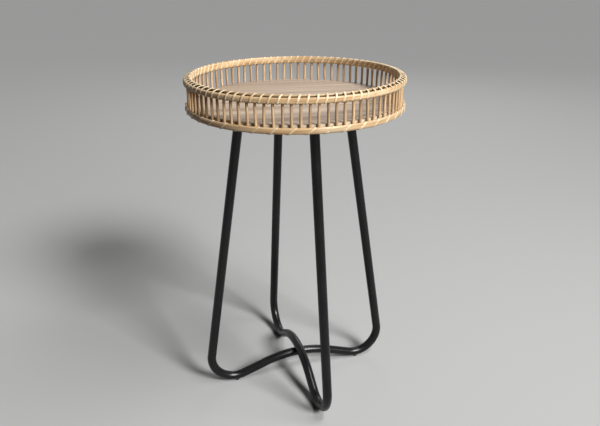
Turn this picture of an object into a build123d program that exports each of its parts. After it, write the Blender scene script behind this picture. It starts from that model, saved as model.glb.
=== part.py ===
from build123d import *
import math
import os

os.makedirs("parts", exist_ok=True)

# Round side table: a tray with a gallery of sticks, on two bent tubes that cross near the floor.
# Millimetres and degrees. The floor is z = 0 and the axis of the tray is Z.
# The low tube frame lies along X. The high one lies along Y and passes over it.

# Whole table
table_height = 650.0

# Gallery of sticks between hoops
gallery_height = 63.2
spindle_count = 84
spindle_sides = 6
spindle_diameter = 5.0
spindle_circle_radius = 195.5
spindle_top_recess = 1.5
hoop_play = 0.1
outer_hoop_thickness = 3.9
inner_hoop_thickness = 3.8
hoop_eased_edge = 1.2
hoop_joint_gap = 0.6
upper_outer_hoop_height = 10.2
upper_inner_hoop_height = 13.3
lower_outer_hoop_height = 10.6
lower_inner_hoop_height = 5.8
upper_outer_joint_angle = 160.0
upper_inner_joint_angle = 81.0
lower_outer_joint_angle = 200.0
lower_inner_joint_angle = 6.0

# Cane strips that bind the hoops: a turn in each gap above, and a turn in every second gap below
upper_binding_width = 3.0
binding_thickness = 0.8
binding_play = 0.1
upper_binding_strips = 4
upper_outer_lean = 1.15
upper_top_lean = 0.9
lower_binding_strips = 2
lower_binding_width = 2.8
lower_gaps_per_turn = 2
lower_outer_lean = 3.6
lower_inner_face_share = 0.4

# Tray floor, and the pins that hold it to the lower inner hoop
board_core_thickness = 6.4
top_veneer_thickness = 0.6
board_edge_play = 0.3
board_seat_play = 0.1
board_pin_diameter = 1.6
board_pin_tip_cover = 1.9
turns_per_board_pin = 7
pin_hole_play = 0.1

# Bent tube frames
leg_angles = {"right": 0, "rear": 90, "left": 180, "front": 270}
tube_diameter = 18.0
tube_sides = 12
tube_wall = 1.2
tube_bore_sides = 6
foot_bend_radius = 52.0
foot_reach = 188.8
leg_top_radius = 105.2
low_rail_rise = 31.0
low_rail_straight = 50.0
high_rail_straight = 27.0
crossing_gap = 0.4
crossing_weld_radius = 6.5
crossing_weld_sides = 12
crossing_weld_play = 0.05

# Leg plates and their screws
plate_thickness = 2.5
plate_radial_size = 26.0
plate_side_size = 48.0
plate_corner_cut = 4.0
screw_spacing = 32.0
screw_diameter = 3.8
screw_head_diameter = 7.4
screw_head_height = 2.0
screw_tip_cover = 1.4
screw_hole_play = 0.15
drill_overrun = 0.3
fastener_sides = 6

# Foot glides
glide_proud = 2.0
glide_diameter = 10.0
glide_sides = 8
glide_saddle_depth = 1.4
glide_edge_cut = 0.7
glide_play = 0.1

# Radii of the gallery
inner_hoop_outer_radius = spindle_circle_radius - spindle_diameter / 2 - hoop_play
inner_hoop_inner_radius = inner_hoop_outer_radius - inner_hoop_thickness
inner_hoop_middle_radius = inner_hoop_outer_radius - inner_hoop_thickness / 2
outer_hoop_inner_radius = spindle_circle_radius + spindle_diameter / 2 + hoop_play
outer_hoop_outer_radius = outer_hoop_inner_radius + outer_hoop_thickness
board_radius = spindle_circle_radius - spindle_diameter / 2 - board_edge_play
binding_outside_radius = outer_hoop_outer_radius + binding_play
binding_inside_radius = inner_hoop_inner_radius - binding_play
spindle_pitch = 360 / spindle_count

# Levels of the tray
binding_build = binding_thickness + binding_play
lower_hoop_bottom = table_height - gallery_height + binding_build
lower_outer_hoop_top = lower_hoop_bottom + lower_outer_hoop_height
lower_inner_hoop_top = lower_hoop_bottom + lower_inner_hoop_height
board_bottom = lower_inner_hoop_top + binding_build + board_seat_play
veneer_bottom = board_bottom + board_core_thickness
upper_inner_hoop_top = table_height - binding_build
upper_hoop_bottom = upper_inner_hoop_top - upper_inner_hoop_height
upper_outer_hoop_top = upper_hoop_bottom + upper_outer_hoop_height
spindle_top = upper_outer_hoop_top - spindle_top_recess
pin_top = veneer_bottom - board_pin_tip_cover
screw_top = veneer_bottom - screw_tip_cover

# Levels and places of the frames
tube_radius = tube_diameter / 2
foot_axis_height = glide_proud + tube_radius
foot_centre_height = foot_axis_height + foot_bend_radius
foot_centre_reach = foot_reach - foot_bend_radius
high_rail_rise = low_rail_rise + tube_diameter + crossing_gap
plate_bottom = board_bottom - plate_thickness
standing = (Align.CENTER, Align.CENTER, Align.MIN)
bottom_end, top_end = 0, -1


def peg(diameter, bottom, top):
    """A round peg along Z, between two levels."""
    return Pos(0, 0, bottom) * Cylinder(diameter / 2, top - bottom, align=standing)


def prism(diameter, sides, bottom, top):
    """An upright stick with flat sides, between two levels."""
    return Pos(0, 0, bottom) * extrude(RegularPolygon(diameter / 2, sides), top - bottom)


def hoop(inner_radius, outer_radius, bottom, top, joint_angle, eased_end=None):
    """A split hoop with a butt joint, its outer edge eased at the end that a hand meets."""
    thickness = outer_radius - inner_radius
    outline = Rectangle(thickness, top - bottom, align=Align.MIN)
    if eased_end is not None:
        outer_corners = outline.vertices().group_by(Axis.X)[-1].sort_by(Axis.Y)
        outline = chamfer(outer_corners[eased_end], hoop_eased_edge)
    gap_angle = math.degrees(hoop_joint_gap / outer_radius)
    section = Plane.XZ * Pos(inner_radius, bottom) * outline
    ring = revolve(section, Axis.Z, revolution_arc=360 - gap_angle)
    return Rot(0, 0, joint_angle + gap_angle / 2) * ring


def at_angle(radius, height, angle):
    """The point at a radius and a height, at an angle about the axis of the tray."""
    turn = math.radians(angle)
    return Vector(radius * math.cos(turn), radius * math.sin(turn), height)


def outward_offset(before, corner, after):
    """From a corner of the strip's inner side to its outer side, in radius and height."""
    run_in = (Vector(*corner) - Vector(*before)).normalized()
    run_out = (Vector(*after) - Vector(*corner)).normalized()
    normal_in = Vector(run_in.Y, -run_in.X)
    normal_out = Vector(run_out.Y, -run_out.X)
    return (normal_in + normal_out) * (binding_thickness / (1 + normal_in.dot(normal_out)))


def strip_section(corner, offset, angle, width):
    """The four points of the strip's cross-section where it folds over a corner of the hoops."""
    along = at_angle(width / 2, 0, angle + 90)
    inside = at_angle(corner[0], corner[1], angle)
    outside = at_angle(corner[0] + offset.X, corner[1] + offset.Y, angle)
    return [inside - along, inside + along, outside + along, outside - along]


def binding_strip(name, corners, turn_angles, width):
    """One unbroken strip wound round the hoops, folded flat over each corner of its loop."""
    offsets = []
    for index, corner in enumerate(corners):
        after = corners[(index + 1) % len(corners)]
        offsets.append(outward_offset(corners[index - 1], corner, after))
    sections = []
    for angles in turn_angles:
        for corner, offset, angle in zip(corners, offsets, angles):
            sections.append(strip_section(corner, offset, angle, width))
    faces = [Face(Wire.make_polygon(sections[0])), Face(Wire.make_polygon(sections[-1]))]
    for first, second in zip(sections, sections[1:]):
        for side in range(4):
            diagonal = [first[side], second[side - 1]]
            faces.append(Face(Wire.make_polygon(diagonal + [first[side - 1]])))
            faces.append(Face(Wire.make_polygon(diagonal + [second[side]])))
    print(name, "turns", len(turn_angles), "least self gap", self_gap(sections, len(corners), width))
    return Solid(Shell(faces))


def self_gap(sections, runs_per_turn, width):
    """Least gap between stretches of one strip that lie half a turn or more apart."""
    steps_per_run = 6
    points = []
    middles = [(section[0] + section[2]) / 2 for section in sections]
    for first, second in zip(middles, middles[1:]):
        for step in range(steps_per_run):
            points.append(first + (second - first) * (step / steps_per_run))
    half_turn = steps_per_run * runs_per_turn // 2
    least = math.inf
    for index, point in enumerate(points):
        for other in points[index + half_turn : index + 4 * half_turn]:
            least = min(least, (point - other).length)
    return round(least - math.hypot(width, binding_thickness), 2)


def arched_rail(rail_rise, rail_straight):
    """Slope of a rail's straight runs, in radians, and radius of the crown between them."""
    slope = 2 * math.atan(rail_rise / (foot_centre_reach + rail_straight))
    arch_span = foot_centre_reach - rail_straight * math.cos(slope)
    return slope, arch_span / math.sin(slope) - foot_bend_radius


def frame_line(rail_rise, rail_straight):
    """Centre line of a bent frame along X: leg, foot bend, arched rail, foot bend, leg."""
    rail_slope, crown_radius = arched_rail(rail_rise, rail_straight)
    crown_height = foot_axis_height + rail_rise
    rise = plate_bottom - foot_centre_height
    run = leg_top_radius - foot_centre_reach
    leg_lean = math.atan2(rise, run) - math.acos(foot_bend_radius / math.hypot(rise, run))
    leg_length = math.sqrt(rise**2 + run**2 - foot_bend_radius**2) + tube_diameter
    rail_angle = -math.pi / 2 - rail_slope

    def on_foot(angle):
        across = foot_centre_reach + foot_bend_radius * math.cos(angle)
        return across, foot_centre_height + foot_bend_radius * math.sin(angle)

    def mirrored(point):
        return -point[0], point[1]

    bend_top = on_foot(leg_lean)
    bend_middle = on_foot((leg_lean + rail_angle) / 2)
    bend_end = on_foot(rail_angle)
    leg_end = (
        bend_top[0] - leg_length * math.sin(leg_lean),
        bend_top[1] + leg_length * math.cos(leg_lean),
    )
    arch_end = (
        crown_radius * math.sin(rail_slope),
        crown_height - crown_radius * (1 - math.cos(rail_slope)),
    )
    runs = [
        Line(mirrored(leg_end), mirrored(bend_top)),
        ThreePointArc(mirrored(bend_top), mirrored(bend_middle), mirrored(bend_end)),
        Line(mirrored(bend_end), mirrored(arch_end)),
        ThreePointArc(mirrored(arch_end), (0, crown_height), arch_end),
        Line(arch_end, bend_end),
        ThreePointArc(bend_end, bend_middle, bend_top),
        Line(bend_top, leg_end),
    ]
    return Plane.XZ * Wire(runs)


def same_area_radius(radius, sides):
    """Corner radius of a regular polygon that has the area of a round of this radius."""
    return radius * math.sqrt(2 * math.pi / (sides * math.sin(2 * math.pi / sides)))


def bent_tube(line):
    """A tube along a centre line, cut flat at the undersides of the leg plates."""
    start = Plane(origin=line @ 0, z_dir=line % 0)
    bar = sweep(start * RegularPolygon(tube_radius, tube_sides), path=line)
    bore_radius = same_area_radius(tube_radius - tube_wall, tube_bore_sides)
    bore = sweep(start * RegularPolygon(bore_radius, tube_bore_sides), path=line)
    return split(bar - bore, Plane.XY.offset(plate_bottom), keep=Keep.BOTTOM)


def lying_bar(radius, length, height):
    """A round bar along X at a height, to hollow out what sits against a tube."""
    return Pos(0, 0, height) * Rot(0, 90, 0) * Cylinder(radius, length)


def foot_glide():
    """The button under the foot at +X, hollowed on top to sit against the tube."""
    button = prism(glide_diameter, glide_sides, 0, glide_proud + glide_saddle_depth)
    button = chamfer(button.edges().group_by(Axis.Z)[0], glide_edge_cut)
    button -= lying_bar(tube_radius + glide_play, 2 * glide_diameter, foot_axis_height)
    return Pos(foot_centre_reach, 0, 0) * button


def crossing_bead():
    """The weld that fills the crevice between the two rails where they cross."""
    low_axis_height = foot_axis_height + low_rail_rise
    high_axis_height = foot_axis_height + high_rail_rise
    high_crown_radius = arched_rail(high_rail_rise, high_rail_straight)[1]
    high_crown_sag = crossing_weld_radius**2 / (2 * (high_crown_radius - tube_radius))
    low_radius = tube_radius + crossing_weld_play
    high_radius = low_radius + high_crown_sag
    bead_diameter = 2 * crossing_weld_radius
    bead = prism(bead_diameter, crossing_weld_sides, low_axis_height, high_axis_height)
    bead -= lying_bar(low_radius, 2 * tube_diameter, low_axis_height)
    return bead - Rot(0, 0, 90) * lying_bar(high_radius, 2 * tube_diameter, high_axis_height)


def leg_plate():
    """The plate on the leg at +X, with a screw hole on each side of the tube."""
    outline = Rectangle(plate_radial_size, plate_side_size)
    outline = chamfer(outline.vertices(), plate_corner_cut)
    hole = RegularPolygon(screw_diameter / 2 + screw_hole_play, fastener_sides)
    outline -= [place * hole for place in GridLocations(0, screw_spacing, 1, 2)]
    return Pos(leg_top_radius, 0, plate_bottom) * extrude(outline, plate_thickness)


# Sticks, and the hoops on both sides of them
stick = prism(spindle_diameter, spindle_sides, lower_hoop_bottom, spindle_top)
stick_places = PolarLocations(spindle_circle_radius, spindle_count, start_angle=spindle_pitch / 2)
upper_outer_hoop = hoop(
    outer_hoop_inner_radius,
    outer_hoop_outer_radius,
    upper_hoop_bottom,
    upper_outer_hoop_top,
    upper_outer_joint_angle,
    top_end,
)
upper_inner_hoop = hoop(
    inner_hoop_inner_radius,
    inner_hoop_outer_radius,
    upper_hoop_bottom,
    upper_inner_hoop_top,
    upper_inner_joint_angle,
)
lower_outer_hoop = hoop(
    outer_hoop_inner_radius,
    outer_hoop_outer_radius,
    lower_hoop_bottom,
    lower_outer_hoop_top,
    lower_outer_joint_angle,
    bottom_end,
)
lower_inner_hoop = hoop(
    inner_hoop_inner_radius,
    inner_hoop_outer_radius,
    lower_hoop_bottom,
    lower_inner_hoop_top,
    lower_inner_joint_angle,
)
nodes = {
    "spindles": Compound([place * stick for place in stick_places]),
    "upper_outer_hoop": upper_outer_hoop,
    "upper_inner_hoop": upper_inner_hoop,
    "lower_outer_hoop": lower_outer_hoop,
}

# Upper binding: a turn in every gap. It leans as it climbs the outer hoop and crosses the top.
binding_top_width = binding_outside_radius - binding_inside_radius
groove_end_radius = inner_hoop_outer_radius + binding_play
groove_share = (binding_outside_radius - groove_end_radius) / binding_top_width
upper_corners = [
    (binding_outside_radius, upper_hoop_bottom - binding_play),
    (binding_outside_radius, upper_outer_hoop_top + binding_play),
    (groove_end_radius, upper_inner_hoop_top + binding_play),
    (binding_inside_radius, upper_inner_hoop_top + binding_play),
    (binding_inside_radius, upper_hoop_bottom - binding_play),
]
upper_turns_per_strip = spindle_count // upper_binding_strips
for strip in range(upper_binding_strips):
    turn_angles = []
    for turn in range(upper_turns_per_strip):
        start = (strip * upper_turns_per_strip + turn) * spindle_pitch
        climbed = start + upper_outer_lean
        over_groove = climbed + groove_share * upper_top_lean
        turn_angles.append((start, climbed, over_groove, climbed + upper_top_lean, start + spindle_pitch))
    name = f"upper_binding_{strip + 1}"
    nodes[name] = binding_strip(name, upper_corners, turn_angles, upper_binding_width)

# Lower binding: it climbs the outer hoop, goes in between two sticks and passes under the board
lower_corners = [
    (binding_outside_radius, lower_hoop_bottom - binding_play),
    (binding_outside_radius, lower_outer_hoop_top + binding_play),
    (outer_hoop_inner_radius - binding_play, lower_outer_hoop_top + binding_play),
    (inner_hoop_outer_radius + binding_thickness, lower_inner_hoop_top + binding_play),
    (binding_inside_radius, lower_inner_hoop_top + binding_play),
    (binding_inside_radius, lower_hoop_bottom - binding_play),
]
lower_turns = spindle_count // lower_gaps_per_turn
lower_turns_per_strip = lower_turns // lower_binding_strips
lower_turn_pitch = lower_gaps_per_turn * spindle_pitch
lower_inside_lean = lower_inner_face_share * (lower_turn_pitch - lower_outer_lean)
for strip in range(lower_binding_strips):
    turn_angles = []
    for turn in range(lower_turns_per_strip):
        inward = spindle_pitch + (strip * lower_turns_per_strip + turn) * lower_turn_pitch
        inside_end = inward + lower_inside_lean
        turn_angles.append((inward - lower_outer_lean, inward, inward, inward, inward, inside_end))
    name = f"lower_binding_{strip + 1}"
    nodes[name] = binding_strip(name, lower_corners, turn_angles, lower_binding_width)

# Tray floor, with its pins in the lower inner hoop and its screws in the leg plates
pin = prism(board_pin_diameter, fastener_sides, lower_hoop_bottom, pin_top)
pin_hole_diameter = board_pin_diameter + 2 * pin_hole_play
pin_drill = prism(
    pin_hole_diameter, fastener_sides, lower_hoop_bottom - drill_overrun, pin_top + drill_overrun
)
pin_step = turns_per_board_pin * lower_turn_pitch
pin_places = []
for number in range(lower_turns // turns_per_board_pin):
    pin_angle = spindle_pitch / 2 + number * pin_step
    pin_places.append(Rot(0, 0, pin_angle) * Pos(inner_hoop_middle_radius, 0, 0))
head_bottom = plate_bottom - screw_head_height
screw = prism(screw_head_diameter, fastener_sides, head_bottom, plate_bottom)
screw += prism(screw_diameter, fastener_sides, plate_bottom, screw_top)
screw_hole_diameter = screw_diameter + 2 * screw_hole_play
screw_drill = prism(screw_hole_diameter, fastener_sides, plate_bottom, screw_top + drill_overrun)
screw_places = []
for angle in leg_angles.values():
    for side in (-screw_spacing / 2, screw_spacing / 2):
        screw_places.append(Rot(0, 0, angle) * Pos(leg_top_radius, side, 0))
board_core = peg(2 * board_radius, board_bottom, veneer_bottom)
board_core -= [place * pin_drill for place in pin_places]
board_core -= [place * screw_drill for place in screw_places]
lower_inner_hoop -= [place * pin_drill for place in pin_places]
nodes["lower_inner_hoop"] = lower_inner_hoop
nodes["board_core"] = board_core
nodes["top_veneer"] = peg(2 * board_radius, veneer_bottom, veneer_bottom + top_veneer_thickness)
nodes["board_pins"] = Compound([place * pin for place in pin_places])
nodes["plate_screws"] = Compound([place * screw for place in screw_places])

# Bent frames, and the weld bead where the high one crosses the low one
nodes["low_frame"] = bent_tube(frame_line(low_rail_rise, low_rail_straight))
nodes["high_frame"] = Rot(0, 0, 90) * bent_tube(frame_line(high_rail_rise, high_rail_straight))
nodes["crossing_weld"] = crossing_bead()

# One plate and one glide at each leg
glide = foot_glide()
plate = leg_plate()
for name, angle in leg_angles.items():
    nodes[f"leg_plate_{name}"] = Rot(0, 0, angle) * plate
    nodes[f"foot_glide_{name}"] = Rot(0, 0, angle) * glide

for name, shape in nodes.items():
    export_step(shape, f"parts/{name}.step")
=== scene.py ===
# Round side table: a tray fenced by cane-bound sticks, on two bent black tubes that cross near the floor.
import bmesh
import bpy
import math
import random
from mathutils import Matrix, Vector, noise


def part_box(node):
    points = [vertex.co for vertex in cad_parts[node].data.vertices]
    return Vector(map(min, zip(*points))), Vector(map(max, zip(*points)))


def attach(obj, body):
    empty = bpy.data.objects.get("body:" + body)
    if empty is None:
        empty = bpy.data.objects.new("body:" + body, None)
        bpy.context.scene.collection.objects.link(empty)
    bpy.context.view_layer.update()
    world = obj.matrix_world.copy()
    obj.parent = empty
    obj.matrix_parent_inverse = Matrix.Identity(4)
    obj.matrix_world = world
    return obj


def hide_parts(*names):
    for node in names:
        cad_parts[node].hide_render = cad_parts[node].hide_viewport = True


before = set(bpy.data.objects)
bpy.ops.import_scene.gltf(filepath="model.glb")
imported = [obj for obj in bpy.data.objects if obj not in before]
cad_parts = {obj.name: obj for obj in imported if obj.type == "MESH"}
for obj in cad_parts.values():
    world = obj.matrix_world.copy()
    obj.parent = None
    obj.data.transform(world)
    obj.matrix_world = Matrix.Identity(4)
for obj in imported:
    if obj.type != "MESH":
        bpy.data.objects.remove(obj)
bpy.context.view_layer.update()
stickCount = 84
stickPitch = 2 * math.pi / stickCount
sameSpot = 1e-6  # metres within which two places count as one
creaseAngle = math.radians(40)
white = (1, 1, 1)
black = (0, 0, 0)
print("frame loaded:", len(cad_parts), "nodes")


# Small helpers for modelling by hand in code

def clearSelection():
    if bpy.context.object and bpy.context.object.mode != "OBJECT":
        bpy.ops.object.mode_set(mode="OBJECT")
    bpy.ops.object.select_all(action="DESELECT")


def takeUp(piece):
    clearSelection()
    piece.select_set(True)
    bpy.context.view_layer.objects.active = piece


def editMode():
    bpy.ops.object.mode_set(mode="EDIT")


def objectMode():
    bpy.ops.object.mode_set(mode="OBJECT")


def settle():
    bpy.ops.object.transform_apply(location=True, rotation=True, scale=True)


def pick(piece, kind, test):
    bpy.ops.mesh.select_mode(type=kind)
    bpy.ops.mesh.select_all(action="DESELECT")
    shape = bmesh.from_edit_mesh(piece.data)
    for item in {"VERT": shape.verts, "EDGE": shape.edges, "FACE": shape.faces}[kind]:
        if test(item):
            item.select_set(True)
    shape.select_flush_mode()
    bmesh.update_edit_mesh(piece.data)


def climb(edge):
    return abs(edge.verts[0].co.z - edge.verts[1].co.z)


def liesBelow(edge, height):
    return all(vert.co.z < height for vert in edge.verts)


def bevelEdges(piece, test, offset, steps):
    pick(piece, "EDGE", test)
    bpy.ops.mesh.bevel(offset=offset, segments=steps, affect="EDGES")


def cutLevel(height):
    bpy.ops.mesh.select_all(action="SELECT")
    bpy.ops.mesh.bisect(plane_co=(0, 0, height), plane_no=(0, 0, 1), use_fill=True, clear_outer=True)


def faceOutwards():
    bpy.ops.mesh.select_all(action="SELECT")
    bpy.ops.mesh.normals_make_consistent(inside=False)


def addCylinder(sides, radius, depth, middle, turn=(0, 0, 0)):
    clearSelection()
    bpy.ops.mesh.primitive_cylinder_add(
        vertices=sides, radius=radius, depth=depth, location=middle, rotation=turn
    )
    piece = bpy.context.object
    settle()
    return piece


def addModifier(piece, kind, **settings):
    modifier = piece.modifiers.new(kind.lower(), kind)
    for key, value in settings.items():
        setattr(modifier, key, value)
    takeUp(piece)
    bpy.ops.object.modifier_apply(modifier=modifier.name)


def makeUneven(piece, size, strength):
    clouds = bpy.data.textures.new(piece.name + "Waver", "CLOUDS")
    clouds.noise_scale = size
    addModifier(piece, "DISPLACE", texture=clouds, strength=strength)


def cutAway(piece, cutter):
    addModifier(piece, "BOOLEAN", operation="DIFFERENCE", object=cutter, solver="EXACT")
    bpy.data.objects.remove(cutter)


def copyOf(piece, name):
    twin = piece.copy()
    twin.data = piece.data.copy()
    twin.name = name
    bpy.context.scene.collection.objects.link(twin)
    return twin


def joinAll(name, parts):
    clearSelection()
    for part in parts:
        part.select_set(True)
    bpy.context.view_layer.objects.active = parts[0]
    bpy.ops.object.join()
    parts[0].name = name
    return parts[0]


def coverWith(piece, material):
    piece.data.materials.clear()
    piece.data.materials.append(material)


def finishPiece(piece, material, slotName, *nodes):
    takeUp(piece)
    settle()
    bpy.ops.object.shade_smooth_by_angle(angle=creaseAngle)
    coverWith(piece, material)
    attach(piece, "root")
    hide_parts(*nodes)


# Node trees

def startMaterial(name, gloss):
    material = bpy.data.materials.new(name)
    material.use_nodes = True
    shader = material.node_tree.nodes["Principled BSDF"]
    for socket, value in gloss.items():
        shader.inputs[socket].default_value = value
    return material, material.node_tree, shader


def feed(tree, socket, value):
    if isinstance(value, bpy.types.NodeSocket):
        tree.links.new(value, socket)
    else:
        socket.default_value = value


def addNode(tree, kind, inputs=None, **settings):
    made = tree.nodes.new(kind)
    for key, value in settings.items():
        setattr(made, key, value)
    for key, value in (inputs or {}).items():
        feed(tree, made.inputs[key], value)
    return made


def calculate(tree, operation, *values):
    return addNode(tree, "ShaderNodeMath", dict(enumerate(values)), operation=operation).outputs[0]


def ramp(tree, factor, *stops):
    made = addNode(tree, "ShaderNodeValToRGB", {"Fac": factor})
    bar = made.color_ramp.elements
    while len(bar) < len(stops):
        bar.new(0.5)
    for element, (position, colour) in zip(bar, stops):
        element.position = position
        element.color = (*colour, 1)
    return made.outputs["Color"]


def mixColours(tree, factor, first, second, blend="MIX"):
    made = addNode(tree, "ShaderNodeMix", data_type="RGBA", blend_type=blend)
    # the node has sockets for every kind of value: these are the factor and the two colours
    for number, value in ((0, factor), (6, first), (7, second)):
        feed(tree, made.inputs[number], value)
    return made.outputs[2]


def objectPlace(tree):
    return addNode(tree, "ShaderNodeTexCoord").outputs["Object"]


def turned(tree, place, angle):
    mapping = {"Vector": place, "Rotation": (0, 0, angle)}
    return addNode(tree, "ShaderNodeMapping", mapping).outputs["Vector"]


def grain(tree, place, pattern):
    if "stretch" in pattern:
        mapping = {"Vector": place, "Scale": pattern["stretch"]}
        place = addNode(tree, "ShaderNodeMapping", mapping).outputs["Vector"]
    inputs = {"Vector": place}
    for key in ("scale", "detail", "roughness"):
        inputs[key.title()] = pattern[key]
    return addNode(tree, "ShaderNodeTexNoise", inputs).outputs["Fac"]


def spread(tree, value, low, high):
    inputs = {"Value": value, "To Min": low, "To Max": high}
    return addNode(tree, "ShaderNodeMapRange", inputs).outputs["Result"]


def fadeOut(tree, value, start, end):
    inputs = {"Value": value, "From Min": start, "From Max": end, "To Min": 1.0, "To Max": 0.0}
    return addNode(tree, "ShaderNodeMapRange", inputs).outputs["Result"]


def dressShader(tree, shader, look, colour, sheen, relief=None):
    tree.links.new(colour, shader.inputs["Base Color"])
    tree.links.new(spread(tree, sheen, *look["roughness"]), shader.inputs["Roughness"])
    if relief is not None:
        strength, distance = look["bump"]
        inputs = {"Height": relief, "Strength": strength, "Distance": distance}
        tree.links.new(addNode(tree, "ShaderNodeBump", inputs).outputs["Normal"], shader.inputs["Normal"])


# Split bamboo hoops

hoopFinish = {
    "dark": (0.41, 0.23, 0.10),
    "tan": (0.74, 0.495, 0.26),
    "pale": (0.84, 0.68, 0.465),
    "streakStops": (0.26, 0.46, 0.74),
    "fibreShade": ((0.30, (0.66, 0.62, 0.58)), (0.62, white)),
    "fibreShare": 0.75,
    "stain": (0.47, 0.27, 0.12),
    "stainSpots": ((0.50, black), (0.78, white)),
    "stainShare": 0.55,
    # painted crevice shade, with a little grime, for the hoop's back against the sticks
    "crevice": (0.10, 0.060, 0.033),
    "creviceDepth": 0.0005,
    "creviceFade": 1.6,
    "patternRadius": 0.2,
    "fibre": {"stretch": (0.025, 1, 1), "scale": 620, "detail": 4, "roughness": 0.6},
    "streak": {"stretch": (0.06, 1, 1), "scale": 190, "detail": 3, "roughness": 0.5},
    "blotch": {"scale": 13, "detail": 3, "roughness": 0.6},
    "gloss": {"Specular IOR Level": 0.2, "Coat Weight": 0.35, "Coat Roughness": 0.2},
    "roughness": (0.34, 0.50),
    "bump": (0.35, 0.0004),
}
# joint is where a hoop's ends meet, in degrees, facing is 1 where its belly is on the outside,
# and the value after facing is how far down its back stays free of the painted crevice shade
hoops = {
    "upperOuterHoop": {
        "node": "upper_outer_hoop", "thickness": 0.0039, "joint": 160,
        "facing": 1, "unshadedTop": 0.0, "tone": 1.0,
    },
    "upperInnerHoop": {
        "node": "upper_inner_hoop", "thickness": 0.0038, "joint": 81,
        "facing": -1, "unshadedTop": 0.0024, "tone": 0.88,
    },
    "lowerOuterHoop": {
        "node": "lower_outer_hoop", "thickness": 0.0039, "joint": 200,
        "facing": 1, "unshadedTop": 0.0, "tone": 0.86,
    },
    "lowerInnerHoop": {
        "node": "lower_inner_hoop", "thickness": 0.0038, "joint": 6,
        "facing": -1, "unshadedTop": 0.0, "tone": 0.88,
    },
}
hoopBend = {
    "steps": 252,
    "bellyAcross": 0.66,
    "bellyUp": 0.36,
    "bellySteps": 8,
    "backRound": 0.0008,
    "backSteps": 2,
    "jointGap": 0.0006,
    "waver": 0.0005,
    "waverSize": 0.035,
}


def aroundTray(tree, turn):
    # length along the hoop, radius and height, so that fibres follow the bend, with the seam at the joint
    place = turned(tree, objectPlace(tree), math.pi - turn)
    parts = addNode(tree, "ShaderNodeSeparateXYZ", {"Vector": place}).outputs
    angle = calculate(tree, "ARCTAN2", parts["Y"], parts["X"])
    arc = calculate(tree, "MULTIPLY", angle, hoopFinish["patternRadius"])
    flat = addNode(tree, "ShaderNodeCombineXYZ", {"X": parts["X"], "Y": parts["Y"]}).outputs[0]
    radius = addNode(tree, "ShaderNodeVectorMath", {0: flat}, operation="LENGTH").outputs["Value"]
    return addNode(tree, "ShaderNodeCombineXYZ", {"X": arc, "Y": radius, "Z": parts["Z"]}).outputs[0]


def creviceShadeMask(tree, place, hoop):
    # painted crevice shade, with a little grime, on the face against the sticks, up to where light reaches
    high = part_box(hoop["node"])[1]
    parts = addNode(tree, "ShaderNodeSeparateXYZ", {"Vector": place}).outputs
    back = high.x if hoop["facing"] < 0 else high.x - hoop["thickness"]
    away = calculate(tree, "ABSOLUTE", calculate(tree, "SUBTRACT", parts["Y"], back))
    depth = hoopFinish["creviceDepth"]
    near = fadeOut(tree, away, depth, depth * hoopFinish["creviceFade"])
    top = high.z - hoop["unshadedTop"]
    return calculate(tree, "MULTIPLY", near, fadeOut(tree, parts["Z"], top, top + depth))


def hoopMaterial(name, turn, hoop):
    look = hoopFinish
    material, tree, shader = startMaterial(name, look["gloss"])
    place = aroundTray(tree, turn)
    fibre = grain(tree, place, look["fibre"])
    streak = grain(tree, place, look["streak"])
    blotch = grain(tree, place, look["blotch"])
    tones = [tuple(part * hoop["tone"] for part in look[shade]) for shade in ("dark", "tan", "pale")]
    colour = ramp(tree, streak, *zip(look["streakStops"], tones))
    fine = ramp(tree, fibre, *look["fibreShade"])
    colour = mixColours(tree, look["fibreShare"], colour, fine, "MULTIPLY")
    stained = mixColours(tree, look["stainShare"], colour, (*look["stain"], 1))
    colour = mixColours(tree, ramp(tree, blotch, *look["stainSpots"]), colour, stained)
    # painted crevice shade, with a little grime, darkens the back of the hoop near the sticks
    colour = mixColours(tree, creviceShadeMask(tree, place, hoop), colour, (*look["crevice"], 1))
    dressShader(tree, shader, look, colour, fibre, fibre)
    return material


def bendHoop(name, hoop):
    low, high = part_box(hoop["node"])
    middle = Vector((high.x - hoop["thickness"] / 2, 0, (low.z + high.z) / 2))
    clearSelection()
    bpy.ops.mesh.primitive_plane_add(size=1, location=middle, rotation=(math.pi / 2, 0, 0))
    piece = bpy.context.object
    piece.name = name
    # split cane is half round: the belly is rounded on a plain section, which is then drawn out to size
    width = hoopBend["bellyUp"] / hoopBend["bellyAcross"]
    editMode()
    bpy.ops.transform.resize(value=(width, 1, 1))
    pick(piece, "VERT", lambda vert: vert.co.x * hoop["facing"] > 0)
    bpy.ops.mesh.bevel(offset=hoopBend["bellyUp"], segments=hoopBend["bellySteps"], affect="VERTICES")
    objectMode()
    piece.scale = (hoop["thickness"] / width, high.z - low.z, 1)
    settle()
    back = middle.x - hoop["facing"] * hoop["thickness"] / 2
    editMode()
    pick(piece, "VERT", lambda vert: abs(vert.co.x - back) < sameSpot)
    bpy.ops.mesh.bevel(offset=hoopBend["backRound"], segments=hoopBend["backSteps"], affect="VERTICES")
    bpy.ops.mesh.select_all(action="SELECT")
    gap = hoopBend["jointGap"] / high.x
    bpy.ops.mesh.spin(
        steps=hoopBend["steps"], angle=2 * math.pi - gap, center=(0, 0, 0), axis=(0, 0, -1)
    )
    faceOutwards()
    objectMode()
    makeUneven(piece, hoopBend["waverSize"], hoopBend["waver"])
    turn = math.radians(hoop["joint"])
    piece.data.transform(Matrix.Rotation(turn + gap / 2, 4, "Z"))
    finishPiece(piece, hoopMaterial(name + "Bamboo", turn, hoop), "bamboo_hoop", hoop["node"])


for hoopName, hoopSizes in hoops.items():
    bendHoop(hoopName, hoopSizes)
print("hoops bent")


# Upright sticks, each a little off true

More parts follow.
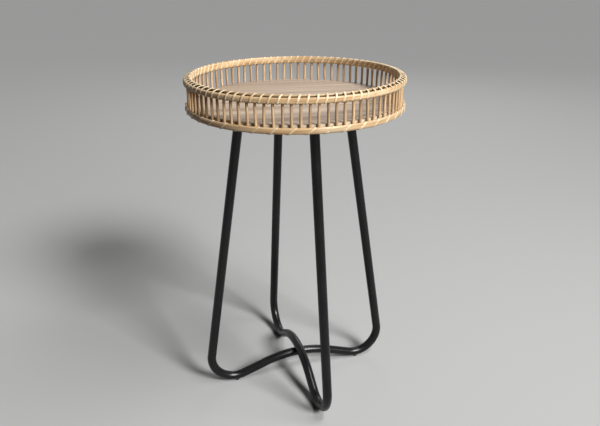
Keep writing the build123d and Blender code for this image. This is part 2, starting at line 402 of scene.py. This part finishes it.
stickLook = {
    "diameter": 0.005,
    "sides": 12,
    "cuts": 5,
    "rimBevel": 0.0004,
    "rimSteps": 2,
    "lean": 0.0008,
    "bow": 0.0007,
    "thinner": 0.06,
    "seed": 11,
    "dark": (0.30, 0.17, 0.085),
    "tan": (0.61, 0.425, 0.25),
    "pale": (0.80, 0.63, 0.44),
    "fibreStops": (0.28, 0.50, 0.76),
    "toneTint": ((0.0, (0.80, 0.74, 0.68)), (0.5, white), (1.0, (1.16, 1.16, 1.14))),
    "patchTint": ((0.35, (0.80, 0.76, 0.70)), (0.62, (1.05, 1.04, 1.02))),
    "patchShare": 0.8,
    "fibre": {"stretch": (1, 1, 0.03), "scale": 1100, "detail": 3, "roughness": 0.6},
    "mottle": {"stretch": (1, 1, 0.35), "scale": 90, "detail": 3, "roughness": 0.6},
    "gloss": {"Specular IOR Level": 0.12},
    "roughness": (0.34, 0.52),
    "bump": (0.3, 0.0003),
}


def stickMaterial():
    look = stickLook
    material, tree, shader = startMaterial("stickBamboo", look["gloss"])
    place = objectPlace(tree)
    fibre = grain(tree, place, look["fibre"])
    mottle = grain(tree, place, look["mottle"])
    tone = addNode(tree, "ShaderNodeAttribute", attribute_name="stickTone").outputs["Fac"]
    colour = ramp(tree, fibre, *zip(look["fibreStops"], (look["dark"], look["tan"], look["pale"])))
    colour = mixColours(tree, 1.0, colour, ramp(tree, tone, *look["toneTint"]), "MULTIPLY")
    patch = ramp(tree, mottle, *look["patchTint"])
    colour = mixColours(tree, look["patchShare"], colour, patch, "MULTIPLY")
    dressShader(tree, shader, look, colour, mottle, fibre)
    return material


def shapeStick(low, high):
    length = high.z - low.z
    stick = addCylinder(
        stickLook["sides"], stickLook["diameter"] / 2, length, (0, 0, (low.z + high.z) / 2)
    )
    editMode()
    bevelEdges(stick, lambda edge: climb(edge) < sameSpot, stickLook["rimBevel"], stickLook["rimSteps"])
    pick(stick, "EDGE", lambda edge: climb(edge) > length / 2)
    bpy.ops.mesh.subdivide(number_cuts=stickLook["cuts"])
    faceOutwards()
    objectMode()
    return stick


def plantSticks():
    low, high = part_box("spindles")
    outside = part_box("upper_outer_hoop")[1].x - hoops["upperOuterHoop"]["thickness"]
    circle = (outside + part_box("upper_inner_hoop")[1].x) / 2
    dice = random.Random(stickLook["seed"])
    pattern = shapeStick(low, high)
    sticks = []
    for number in range(stickCount):
        stick = copyOf(pattern, f"stick{number}")
        lean = dice.uniform(-1, 1) * stickLook["lean"]
        bow = dice.uniform(-1, 1) * stickLook["bow"]
        girth = 1 + dice.uniform(-1, 0) * stickLook["thinner"]
        tone = dice.random()
        for vert in stick.data.vertices:
            rise = (vert.co.z - low.z) / (high.z - low.z)
            vert.co.x *= girth
            vert.co.y = vert.co.y * girth + lean * (2 * rise - 1) + bow * math.sin(math.pi * rise)
        marks = stick.data.attributes.new("stickTone", "FLOAT", "POINT")
        marks.data.foreach_set("value", [tone] * len(stick.data.vertices))
        angle = (number + 0.5) * stickPitch
        stick.data.transform(Matrix.Rotation(angle, 4, "Z") @ Matrix.Translation((circle, 0, 0)))
        sticks.append(stick)
    bpy.data.objects.remove(pattern)
    finishPiece(joinAll("sticks", sticks), stickMaterial(), "bamboo_stick", "spindles")


plantSticks()
print("sticks planted")


# Cane strips wound round the hoop pairs

caneLook = {
    "thickness": 0.0008,
    "play": 0.0001,
    "foldReach": 0.0032,
    "foldShare": 0.45,  # of a side's length, at most
    "foldSteps": 3,
    "crown": 0.55,
    "flat": 0.30,
    "acrossMarks": (-1.0, 1.0, 0.9, 0.4, -0.4, -0.9),  # for the fibres, at each corner of the section
    "mergeGap": 0.00002,
    "wander": {"amount": 0.0007, "slow": 37, "quick": 61, "quickUp": 160, "quickShare": 0.6},
    "dark": (0.52, 0.36, 0.19),
    "cream": (0.82, 0.68, 0.45),
    "bright": (0.90, 0.80, 0.60),
    "mottleStops": (0.25, 0.48, 0.75),
    "fibreShade": ((0.35, (0.78, 0.74, 0.68)), (0.60, white)),
    "fibreShare": 0.7,
    "agedTint": ((0.35, (0.86, 0.80, 0.72)), (0.62, (1.04, 1.03, 1.02))),
    "fibre": {"scale": 5.0, "detail": 2, "roughness": 0.6},
    "mottle": {"scale": 120, "detail": 3, "roughness": 0.6},
    "aged": {"scale": 9, "detail": 2, "roughness": 0.5},
    "gloss": {"Specular IOR Level": 0.3, "Coat Weight": 0.4, "Coat Roughness": 0.2},
    "roughness": (0.28, 0.46),
    "bump": (0.25, 0.0002),
}
upperCane = {"strips": 4, "width": 0.0034, "lean": math.radians(1.15), "topLean": math.radians(0.9)}
lowerCane = {"strips": 2, "width": 0.0031, "lean": math.radians(3.6), "gaps": 2, "insideShare": 0.4}


def caneMaterial():
    look = caneLook
    material, tree, shader = startMaterial("caneStrip", look["gloss"])
    place = objectPlace(tree)
    across = addNode(tree, "ShaderNodeAttribute", attribute_name="caneAcross").outputs["Fac"]
    lines = addNode(tree, "ShaderNodeCombineXYZ", {"X": across}).outputs[0]
    fibre = grain(tree, lines, look["fibre"])
    mottle = grain(tree, place, look["mottle"])
    aged = grain(tree, place, look["aged"])
    colour = ramp(tree, mottle, *zip(look["mottleStops"], (look["dark"], look["cream"], look["bright"])))
    lined = ramp(tree, fibre, *look["fibreShade"])
    colour = mixColours(tree, look["fibreShare"], colour, lined, "MULTIPLY")
    colour = mixColours(tree, 1.0, colour, ramp(tree, aged, *look["agedTint"]), "MULTIPLY")
    dressShader(tree, shader, look, colour, mottle, fibre)
    return material


def foldStations(chain):
    # a fold of a few steps at each corner, with the strip's place and the way that it faces there
    stations = []
    steps = caneLook["foldSteps"]
    for before, corner, after in zip(chain, chain[1:], chain[2:]):
        ends = []
        for other in (before, after):
            run = math.hypot(other[0] - corner[0], other[1] - corner[1])
            share = min(caneLook["foldReach"], caneLook["foldShare"] * run) / run
            ends.append([c + (o - c) * share for c, o in zip(corner, other)])
        heading = math.atan2(corner[1] - before[1], corner[0] - before[0])
        turn = math.atan2(after[1] - corner[1], after[0] - corner[0]) - heading
        turn = (turn + math.pi) % (2 * math.pi) - math.pi
        for step in range(steps + 1):
            t = step / steps
            mixed = [
                (1 - t) ** 2 * a + 2 * t * (1 - t) * c + t**2 * b
                for a, c, b in zip(ends[0], corner, ends[1])
            ]
            stations.append((*mixed, heading + turn * t - math.pi / 2))
    return stations


def stripRings(stations, width):
    half = width / 2
    flat = width * caneLook["flat"]
    thick = caneLook["thickness"]
    side = thick * caneLook["crown"]
    profile = [(-half, 0), (half, 0), (half, side), (flat, thick), (-flat, thick), (-half, side)]
    places = [
        Vector((radius * math.cos(angle), radius * math.sin(angle), height))
        for radius, height, angle, facing in stations
    ]
    rings = []
    for index in range(1, len(stations) - 1):
        angle, facing = stations[index][2:]
        along = (places[index + 1] - places[index - 1]).normalized()
        outward = Vector((
            math.cos(facing) * math.cos(angle), math.cos(facing) * math.sin(angle), math.sin(facing)
        ))
        sideways = along.cross(outward).normalized()
        outward = sideways.cross(along)
        rings.append([places[index] + sideways * x + outward * y for x, y in profile])
    return rings


def extrudeRings(name, rings):
    clearSelection()
    bpy.ops.mesh.primitive_circle_add(vertices=len(rings[0]), fill_type="NGON")
    piece = bpy.context.object
    piece.name = name
    settle()
    editMode()
    shape = bmesh.from_edit_mesh(piece.data)
    old = [vert.co.copy() for vert in shape.verts]
    for ring in rings:
        if ring is not rings[0]:
            bpy.ops.mesh.extrude_region_move()
            shape = bmesh.from_edit_mesh(piece.data)
        for vert in [vert for vert in shape.verts if vert.select]:
            nearest = min(range(len(old)), key=lambda number: (old[number] - vert.co).length_squared)
            vert.co = ring[nearest]
        bmesh.update_edit_mesh(piece.data)
        old = [co.copy() for co in ring]
    # open ends, so that the turns can be merged
    pick(piece, "FACE", lambda face: len(face.verts) == len(rings[0]))
    bpy.ops.mesh.delete(type="ONLY_FACE")
    objectMode()
    return piece


def markAcross(piece):
    spots = caneLook["acrossMarks"]
    marks = piece.data.attributes.new("caneAcross", "FLOAT", "POINT")
    marks.data.foreach_set("value", [spots[vert.index % len(spots)] for vert in piece.data.vertices])


def wander(piece):
    # each turn lies a little to one side of where a machine would put it
    drift = caneLook["wander"]
    for vert in piece.data.vertices:
        radius = math.hypot(vert.co.x, vert.co.y)
        slow = Vector((vert.co.x, vert.co.y, 0)) * (drift["slow"] / radius)
        quick = Vector((vert.co.x, vert.co.y, 0)) * (drift["quick"] / radius)
        quick.z = vert.co.z * drift["quickUp"]
        shift = drift["amount"] * (noise.noise(slow) + drift["quickShare"] * noise.noise(quick))
        vert.co = Matrix.Rotation(shift / radius, 4, "Z") @ vert.co


def windStrips(names, corners, angles, turnPitch, turnsPerStrip, width, nodes):
    # the chain holds the corners of one turn, and of the turns before and after it
    chain = []
    for shift in (-1, 0, 1):
        for (radius, height), angle in zip(corners, angles):
            chain.append((radius, height, angle + shift * turnPitch))
    count = len(corners)
    stationsPerCorner = caneLook["foldSteps"] + 1
    stations = foldStations(chain[count - 2:2 * count + 3])
    # the turn starts at its first corner's fold: one more ring meets the next turn,
    # and a station past each end gives the direction there
    first = stationsPerCorner - 1
    stations = stations[first:first + count * stationsPerCorner + 3]
    pattern = extrudeRings("canePattern", stripRings(stations, width))
    markAcross(pattern)
    bpy.ops.object.empty_add(rotation=(0, 0, turnPitch))
    step = bpy.context.object
    for number, (name, node) in enumerate(zip(names, nodes)):
        strip = copyOf(pattern, name)
        addModifier(
            strip, "ARRAY", count=turnsPerStrip, use_relative_offset=False, use_object_offset=True,
            offset_object=step, use_merge_vertices=True, merge_threshold=caneLook["mergeGap"],
        )
        strip.data.transform(Matrix.Rotation(number * turnsPerStrip * turnPitch, 4, "Z"))
        wander(strip)
        takeUp(strip)
        editMode()
        bpy.ops.mesh.select_all(action="SELECT")
        bpy.ops.mesh.fill_holes(sides=0)
        faceOutwards()
        objectMode()
        finishPiece(strip, caneFinish, "cane_strip", node)
    bpy.data.objects.remove(step)
    bpy.data.objects.remove(pattern)


def windUpperCane():
    outerLow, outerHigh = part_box("upper_outer_hoop")
    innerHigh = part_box("upper_inner_hoop")[1]
    play = caneLook["play"]
    outside = outerHigh.x + play
    inside = innerHigh.x - hoops["upperInnerHoop"]["thickness"] - play
    bottom = outerLow.z - play
    corners = [
        (outside, bottom),
        (outside, outerHigh.z + play),
        (innerHigh.x + play, innerHigh.z + play),
        (inside, innerHigh.z + play),
        (inside, bottom),
    ]
    lean = upperCane["lean"]
    topLean = upperCane["topLean"]
    grooveShare = (outside - innerHigh.x) / (outside - inside)
    angles = (0, lean, lean + grooveShare * topLean, lean + topLean, stickPitch)
    numbers = range(1, upperCane["strips"] + 1)
    windStrips(
        [f"upperCane{number}" for number in numbers], corners, angles, stickPitch,
        stickCount // upperCane["strips"], upperCane["width"],
        [f"upper_binding_{number}" for number in numbers],
    )


def windLowerCane():
    outerLow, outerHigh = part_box("lower_outer_hoop")
    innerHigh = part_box("lower_inner_hoop")[1]
    play = caneLook["play"]
    outside = outerHigh.x + play
    inside = innerHigh.x - hoops["lowerInnerHoop"]["thickness"] - play
    bottom = outerLow.z - play
    top = outerHigh.z + play
    corners = [
        (outside, bottom),
        (outside, top),
        (outerHigh.x - hoops["lowerOuterHoop"]["thickness"] - play, top),
        (innerHigh.x + caneLook["thickness"], innerHigh.z + play),
        (inside, innerHigh.z + play),
        (inside, bottom),
    ]
    inward = stickPitch
    turnPitch = lowerCane["gaps"] * stickPitch
    insideEnd = inward + lowerCane["insideShare"] * (turnPitch - lowerCane["lean"])
    angles = (inward - lowerCane["lean"], inward, inward, inward, inward, insideEnd)
    numbers = range(1, lowerCane["strips"] + 1)
    windStrips(
        [f"lowerCane{number}" for number in numbers], corners, angles, turnPitch,
        stickCount // lowerCane["gaps"] // lowerCane["strips"], lowerCane["width"],
        [f"lower_binding_{number}" for number in numbers],
    )


caneFinish = caneMaterial()
windUpperCane()
windLowerCane()
print("cane wound")


# Tray floor: a board with a grained face

boardSizes = {
    "segments": 180,
    "edgeBevel": 0.0005,
    "bevelShare": 0.4,  # of the thickness, at most
    "bevelSteps": 2,
    "insets": (0.02, 0.05),
}
veneerFinish = {
    "shade": (0.30, 0.222, 0.16),
    "taupe": (0.465, 0.365, 0.275),
    "light": (0.58, 0.47, 0.37),
    "bandStops": (0.30, 0.48, 0.70),
    "lineTint": ((0.34, (0.70, 0.66, 0.62)), (0.56, white), (0.8, (1.08, 1.07, 1.06))),
    "lineShare": 0.85,
    "pore": (0.22, 0.155, 0.105),
    "poreSpots": ((0.26, (0.6, 0.6, 0.6)), (0.36, black)),
    "grainTurn": math.radians(9),
    "waviness": 0.012,
    "waves": {"stretch": (2.2, 9, 1), "scale": 1.0, "detail": 2, "roughness": 0.5},
    "bands": {"stretch": (0.05, 1, 1), "scale": 46, "detail": 4, "roughness": 0.62},
    "lines": {"stretch": (0.022, 1, 1), "scale": 260, "detail": 3, "roughness": 0.65},
    "pores": {"stretch": (0.05, 1, 1), "scale": 900, "detail": 2, "roughness": 0.5},
    "gloss": {"Specular IOR Level": 0.15},
    "roughness": (0.60, 0.44),
    "bump": (0.25, 0.0003),
}
rawBoardFinish = {
    "dark": (0.58, 0.45, 0.31),
    "pale": (0.78, 0.66, 0.50),
    "chipStops": (0.32, 0.62),
    "layerShade": ((0.40, (0.82, 0.78, 0.72)), (0.58, white)),
    "layerShare": 0.8,
    "chips": {"scale": 420, "detail": 3, "roughness": 0.6},
    "layers": {"stretch": (0.08, 0.08, 1), "scale": 1400, "detail": 2, "roughness": 0.5},
    "gloss": {"Specular IOR Level": 0.3},
    "roughness": (0.62, 0.82),
    "bump": (0.3, 0.0004),
}


def veneerMaterial():
    look = veneerFinish
    material, tree, shader = startMaterial("grainedFace", look["gloss"])
    place = turned(tree, objectPlace(tree), look["grainTurn"])
    sway = spread(tree, grain(tree, place, look["waves"]), -look["waviness"], look["waviness"])
    offset = addNode(tree, "ShaderNodeCombineXYZ", {"Y": sway}).outputs[0]
    bent = addNode(tree, "ShaderNodeVectorMath", {0: place, 1: offset}, operation="ADD").outputs[0]
    bands = grain(tree, bent, look["bands"])
    lines = grain(tree, bent, look["lines"])
    pores = grain(tree, bent, look["pores"])
    colour = ramp(tree, bands, *zip(look["bandStops"], (look["shade"], look["taupe"], look["light"])))
    lined = ramp(tree, lines, *look["lineTint"])
    colour = mixColours(tree, look["lineShare"], colour, lined, "MULTIPLY")
    colour = mixColours(tree, ramp(tree, pores, *look["poreSpots"]), colour, (*look["pore"], 1))
    dressShader(tree, shader, look, colour, lines, lines)
    return material


def rawBoardMaterial():
    look = rawBoardFinish
    material, tree, shader = startMaterial("rawBoard", look["gloss"])
    place = objectPlace(tree)
    layers = grain(tree, place, look["layers"])
    chips = grain(tree, place, look["chips"])
    colour = ramp(tree, chips, *zip(look["chipStops"], (look["dark"], look["pale"])))
    layered = ramp(tree, layers, *look["layerShade"])
    colour = mixColours(tree, look["layerShare"], colour, layered, "MULTIPLY")
    dressShader(tree, shader, look, colour, chips, chips)
    return material


def turnDisc(name, node, material, slotName):
    low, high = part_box(node)
    thickness = high.z - low.z
    disc = addCylinder(boardSizes["segments"], high.x, thickness, (0, 0, (low.z + high.z) / 2))
    disc.name = name
    bevel = min(boardSizes["edgeBevel"], boardSizes["bevelShare"] * thickness)
    editMode()
    bevelEdges(disc, lambda edge: climb(edge) < sameSpot, bevel, boardSizes["bevelSteps"])
    for inset in boardSizes["insets"]:
        pick(disc, "FACE", lambda face: len(face.verts) == boardSizes["segments"])
        bpy.ops.mesh.inset(thickness=inset)
    faceOutwards()
    objectMode()
    finishPiece(disc, material, slotName, node)


turnDisc("boardCore", "board_core", rawBoardMaterial(), "raw_board")
turnDisc("trayFace", "top_veneer", veneerMaterial(), "grained_veneer")
print("tray floor laid")


# Bent tube frames

tubeBend = {
    "diameter": 0.018,
    "sides": 40,
    "footRadius": 0.052,
    "footReach": 0.1368,
    "footAxis": 0.011,
    "legTop": 0.1052,
    "bendSteps": 30,
    "crownSteps": 16,
    "mergeGap": 0.0001,
}
rails = {
    "lowFrame": {"node": "low_frame", "rise": 0.0310, "straight": 0.050, "turn": 0},
    "highFrame": {"node": "high_frame", "rise": 0.0494, "straight": 0.027, "turn": math.pi / 2},
}
coatFinish = {
    "dustTint": ((0.35, (0.002, 0.002, 0.0025)), (0.75, (0.007, 0.007, 0.008))),
    "dust": {"scale": 34, "detail": 4, "roughness": 0.65},
    "peel": {"scale": 900, "detail": 2, "roughness": 0.5},
    "gloss": {"Specular IOR Level": 0.32},
    "roughness": (0.22, 0.30),
    "bump": (0.05, 0.0001),
}


def powderCoatMaterial():
    look = coatFinish
    material, tree, shader = startMaterial("blackPowderCoat", look["gloss"])
    place = objectPlace(tree)
    peel = grain(tree, place, look["peel"])
    dust = grain(tree, place, look["dust"])
    dressShader(tree, shader, look, ramp(tree, dust, *look["dustTint"]), dust, peel)
    return material


def bendFrame(name, rail):
    bend = tubeBend
    reach = bend["footReach"]
    slope = 2 * math.atan(rail["rise"] / (reach + rail["straight"]))
    crownRadius = (reach - rail["straight"] * math.cos(slope)) / math.sin(slope) - bend["footRadius"]
    crownHeight = bend["footAxis"] + rail["rise"]
    footCentre = Vector((reach, 0, bend["footAxis"] + bend["footRadius"]))
    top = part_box("leg_plate_right")[0].z
    rise = top - footCentre.z
    run = bend["legTop"] - footCentre.x
    lean = math.atan2(rise, run) - math.acos(bend["footRadius"] / math.hypot(rise, run))
    clearSelection()
    bpy.ops.mesh.primitive_circle_add(
        vertices=bend["sides"], radius=bend["diameter"] / 2,
        location=(0, 0, crownHeight), rotation=(0, math.pi / 2, 0),
    )
    tube = bpy.context.object
    tube.name = name
    settle()
    # half of the frame, from the crown to the foot and up the leg, which is then cut level and mirrored
    editMode()
    bpy.ops.mesh.select_all(action="SELECT")
    bpy.ops.mesh.spin(
        steps=bend["crownSteps"], angle=slope, center=(0, 0, crownHeight - crownRadius), axis=(0, -1, 0)
    )
    straight = Vector((math.cos(slope), 0, -math.sin(slope))) * rail["straight"]
    bpy.ops.mesh.extrude_region_move(TRANSFORM_OT_translate={"value": straight})
    bpy.ops.mesh.spin(
        steps=bend["bendSteps"], angle=slope + math.pi / 2 + lean, center=footCentre, axis=(0, 1, 0)
    )
    leg = Vector((-math.sin(lean), 0, math.cos(lean))) * (rise / math.cos(lean) + bend["diameter"])
    bpy.ops.mesh.extrude_region_move(TRANSFORM_OT_translate={"value": leg})
    cutLevel(top)
    objectMode()
    addModifier(tube, "MIRROR", use_axis=(True, False, False), merge_threshold=bend["mergeGap"])
    takeUp(tube)
    editMode()
    faceOutwards()
    objectMode()
    tube.data.transform(Matrix.Rotation(rail["turn"], 4, "Z"))
    finishPiece(tube, powderCoat, "black_powder_coat", rail["node"])


powderCoat = powderCoatMaterial()
for frameName, railSizes in rails.items():
    bendFrame(frameName, railSizes)
coverWith(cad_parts["crossing_weld"], powderCoat)
print("frames bent")


# Leg plates with their weld beads, screws and foot glides

plateSizes = {
    "cornerCut": 0.004,
    "edgeBevel": 0.0004,
    "edgeSteps": 2,
    "beadRadius": 0.0014,
    "beadSteps": 48,
    "beadSides": 10,
    "beadWaver": 0.0006,
    "beadWaverSize": 0.003,
}
screwSizes = {
    "spacing": 0.032,
    "headDiameter": 0.0074,
    "headHeight": 0.002,
    "sides": 24,
    "domeShare": 0.6,
    "domeSteps": 4,
    "slot": 0.0010,
    "slotShare": 0.6,
    "turn": 0.4,
}
glideSizes = {
    "diameter": 0.010,
    "height": 0.0034,
    "sides": 32,
    "bevel": 0.0009,
    "bevelSteps": 3,
    "tubePlay": 0.0001,
    "seatSides": 64,
    "seatLength": 0.04,
}
zincFinish = {
    "spangleTint": ((0.3, (0.46, 0.46, 0.45)), (0.7, (0.66, 0.66, 0.64))),
    "spangle": {"scale": 600, "detail": 3, "roughness": 0.6},
    "gloss": {"Metallic": 1.0},
    "roughness": (0.30, 0.46),
}
glideFinish = {
    "scuffTint": ((0.35, (0.018, 0.018, 0.018)), (0.8, (0.05, 0.05, 0.05))),
    "scuff": {"scale": 700, "detail": 3, "roughness": 0.6},
    "gloss": {"Specular IOR Level": 0.4},
    "roughness": (0.5, 0.7),
    "bump": (0.2, 0.0002),
}
legTurns = {"Right": 0, "Rear": math.pi / 2, "Left": math.pi, "Front": -math.pi / 2}


def zincMaterial():
    look = zincFinish
    material, tree, shader = startMaterial("zincPlate", look["gloss"])
    spangle = grain(tree, objectPlace(tree), look["spangle"])
    dressShader(tree, shader, look, ramp(tree, spangle, *look["spangleTint"]), spangle)
    return material


def glideMaterial():
    look = glideFinish
    material, tree, shader = startMaterial("glidePlastic", look["gloss"])
    scuff = grain(tree, objectPlace(tree), look["scuff"])
    dressShader(tree, shader, look, ramp(tree, scuff, *look["scuffTint"]), scuff, scuff)
    return material


def cutPlate():
    low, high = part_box("leg_plate_right")
    clearSelection()
    bpy.ops.mesh.primitive_cube_add(size=1, location=(low + high) / 2)
    plate = bpy.context.object
    plate.scale = high - low
    settle()
    editMode()
    bevelEdges(plate, lambda edge: climb(edge) > sameSpot, plateSizes["cornerCut"], 1)
    bevelEdges(plate, lambda edge: climb(edge) < sameSpot, plateSizes["edgeBevel"], plateSizes["edgeSteps"])
    clearSelection()
    bpy.ops.mesh.primitive_torus_add(
        location=(tubeBend["legTop"], 0, low.z), major_radius=tubeBend["diameter"] / 2,
        minor_radius=plateSizes["beadRadius"], major_segments=plateSizes["beadSteps"],
        minor_segments=plateSizes["beadSides"],
    )
    bead = bpy.context.object
    settle()
    makeUneven(bead, plateSizes["beadWaverSize"], plateSizes["beadWaver"])
    takeUp(bead)
    editMode()
    cutLevel(low.z)
    faceOutwards()
    objectMode()
    return joinAll("platePattern", [plate, bead])


def shapeScrew():
    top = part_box("leg_plate_right")[0].z
    size = screwSizes
    under = top - size["headHeight"]
    screw = addCylinder(
        size["sides"], size["headDiameter"] / 2, size["headHeight"], (0, 0, top - size["headHeight"] / 2)
    )
    editMode()
    dome = size["headHeight"] * size["domeShare"]
    bevelEdges(screw, lambda edge: liesBelow(edge, under + sameSpot), dome, size["domeSteps"])
    for turn in (0, math.pi / 2):
        clearSelection()
        bpy.ops.mesh.primitive_cube_add(size=1, location=(0, 0, under), rotation=(0, 0, turn))
        cutter = bpy.context.object
        cutter.scale = (size["headDiameter"] * size["slotShare"], size["slot"], size["headHeight"])
        settle()
        cutAway(screw, cutter)
    return screw


def shapeGlide():
    size = glideSizes
    reach = tubeBend["footReach"]
    glide = addCylinder(
        size["sides"], size["diameter"] / 2, size["height"], (reach, 0, size["height"] / 2)
    )
    editMode()
    bevelEdges(glide, lambda edge: liesBelow(edge, sameSpot), size["bevel"], size["bevelSteps"])
    # the hollow that the tube sits in
    seat = addCylinder(
        size["seatSides"], tubeBend["diameter"] / 2 + size["tubePlay"], size["seatLength"],
        (reach, 0, tubeBend["footAxis"]), (0, math.pi / 2, 0),
    )
    cutAway(glide, seat)
    return glide


zinc = zincMaterial()
glidePlastic = glideMaterial()
platePattern = cutPlate()
glidePattern = shapeGlide()
screwPattern = shapeScrew()
screws = []
for leg, turn in legTurns.items():
    aroundTable = Matrix.Rotation(turn, 4, "Z")
    plate = copyOf(platePattern, "legPlate" + leg)
    plate.data.transform(aroundTable)
    finishPiece(plate, powderCoat, "black_powder_coat", "leg_plate_" + leg.lower())
    glide = copyOf(glidePattern, "footGlide" + leg)
    glide.data.transform(aroundTable)
    finishPiece(glide, glidePlastic, "black_glide", "foot_glide_" + leg.lower())
    for side in (-1, 1):
        screw = copyOf(screwPattern, "screw")
        place = Matrix.Translation((tubeBend["legTop"], side * screwSizes["spacing"] / 2, 0))
        driven = Matrix.Rotation(screwSizes["turn"] * side + turn, 4, "Z")
        screw.data.transform(aroundTable @ place @ driven)
        screws.append(screw)
for pattern in (platePattern, glidePattern, screwPattern):
    bpy.data.objects.remove(pattern)
finishPiece(joinAll("plateScrews", screws), zinc, "zinc_steel", "plate_screws")
coverWith(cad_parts["board_pins"], zinc)
print("plates, screws and glides fitted")


# Pale floor, soft light and the camera

stageLook = {
    "floorSize": 60,
    "floorColour": (0.51, 0.51, 0.505, 1),
    "floorBounce": (0.10, 0.068, 0.042, 1),
    "floorGloss": {"Roughness": 0.85, "Specular IOR Level": 0.2},
    "keyTurn": math.radians(-63),
    "keyRise": math.radians(36),
    "keyStrength": 3.05,
    "keySoftness": math.radians(17),
    "boxes": {
        "top": {"place": (0.76, -0.72, 2.1), "aim": (0, 0, 0), "size": (0.9, 0.45), "power": 19},
        "side": {"place": (0.95, -2.95, 2.0), "aim": (0, 0, 0.5), "size": (0.8, 1.6), "power": 31},
        "back": {"place": (1.41, 2.65, 2.0), "aim": (0, 0, 0.4), "size": (1.6, 1.0), "power": 12},
    },
    "skyColour": (0.018, 0.0185, 0.019, 1),
    "paleSky": (0.46, 0.465, 0.47, 1),
}
cameraPlace = {
    "location": (-0.3494, -1.1047, 0.8556),
    "heading": math.radians(72.07),
    "down": math.radians(22.71),
    "roll": -0.0061,
    "focalPixels": 627.9,
    "imageWidth": 600,
    "sensor": 36,
}


def seenRays(tree):
    # rays that show the background itself, seen straight or in a gloss
    rays = addNode(tree, "ShaderNodeLightPath").outputs
    seen = rays["Is Camera Ray"]
    for kind in ("Is Glossy Ray", "Is Transmission Ray"):
        seen = calculate(tree, "MAXIMUM", seen, rays[kind])
    return seen


def addToScene(name, data):
    thing = bpy.data.objects.new(name, data)
    bpy.context.scene.collection.objects.link(thing)
    return thing


def layFloor():
    clearSelection()
    bpy.ops.mesh.primitive_plane_add(size=stageLook["floorSize"])
    floor = bpy.context.object
    floor.name = "floor"
    material, tree, shader = startMaterial("paleFloor", stageLook["floorGloss"])
    colour = mixColours(tree, seenRays(tree), stageLook["floorBounce"], stageLook["floorColour"])
    tree.links.new(colour, shader.inputs["Base Color"])
    coverWith(floor, material)


def lightScene():
    sun = bpy.data.lights.new("key", "SUN")
    sun.energy = stageLook["keyStrength"]
    sun.angle = stageLook["keySoftness"]
    lamp = addToScene("key", sun)
    lamp.rotation_euler = (0, math.pi / 2 - stageLook["keyRise"], stageLook["keyTurn"])
    for name, box in stageLook["boxes"].items():
        softBox = bpy.data.lights.new(name, "AREA")
        softBox.shape = "RECTANGLE"
        softBox.size, softBox.size_y = box["size"]
        softBox.energy = box["power"]
        lamp = addToScene(name, softBox)
        lamp.location = box["place"]
        away = Vector(box["place"]) - Vector(box["aim"])
        lamp.rotation_euler = away.to_track_quat("Z", "Y").to_euler()
    world = bpy.data.worlds.new("softSky")
    world.use_nodes = True
    tree = world.node_tree
    colour = mixColours(tree, seenRays(tree), stageLook["skyColour"], stageLook["paleSky"])
    tree.links.new(colour, tree.nodes["Background"].inputs["Color"])
    bpy.context.scene.world = world


def placeCamera():
    spot = cameraPlace
    lens = bpy.data.cameras.new("photoCamera")
    lens.sensor_width = spot["sensor"]
    lens.lens = spot["focalPixels"] / spot["imageWidth"] * spot["sensor"]
    camera = addToScene("photoCamera", lens)
    level = Matrix.Rotation(spot["heading"] - math.pi / 2, 4, "Z")
    tilt = Matrix.Rotation(math.pi / 2 - spot["down"], 4, "X")
    roll = Matrix.Rotation(spot["roll"], 4, "Z")
    camera.matrix_world = Matrix.Translation(spot["location"]) @ level @ tilt @ roll
    bpy.context.scene.camera = camera


layFloor()
lightScene()
placeCamera()
bpy.context.scene.view_settings.view_transform = "Standard"
print("stage set")
